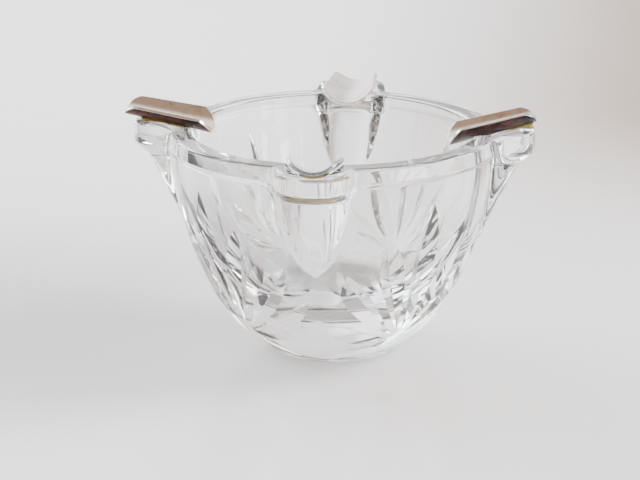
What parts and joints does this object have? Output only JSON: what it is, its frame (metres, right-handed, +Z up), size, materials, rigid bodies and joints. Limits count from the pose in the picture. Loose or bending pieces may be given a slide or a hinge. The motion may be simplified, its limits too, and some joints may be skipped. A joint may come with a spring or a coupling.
{
  "type": "cut-glass ashtray",
  "caption": "Heavy round cut-glass ashtray bowl with a lug at each quarter, and a plated metal trough-shaped cigarette rest bonded on top of every lug.",
  "frame": {"origin": "centre of the bowl's flat underside, on the bowl's axis", "axes": "+Z up along the bowl's axis, -Y towards the front lug, +X towards the right lug"},
  "size_m": [0.1139, 0.1145, 0.0687],
  "materials": {
    "crystal": "clear colourless lead glass, fire-polished wall with wheel-cut and acid-polished leaf cuts",
    "plated_metal": "polished nickel or chrome plate on thin sheet, slightly worn",
    "bonding_cement": "aged yellowish adhesive, semi-gloss"
  },
  "bodies": {
    "root": {"glass_bowl": "crystal", "rest_front": "plated_metal", "rest_right": "plated_metal", "rest_back": "plated_metal", "rest_left": "plated_metal", "cement_front": "bonding_cement", "cement_right": "bonding_cement", "cement_back": "bonding_cement", "cement_left": "bonding_cement"}
  },
  "joints": []
}
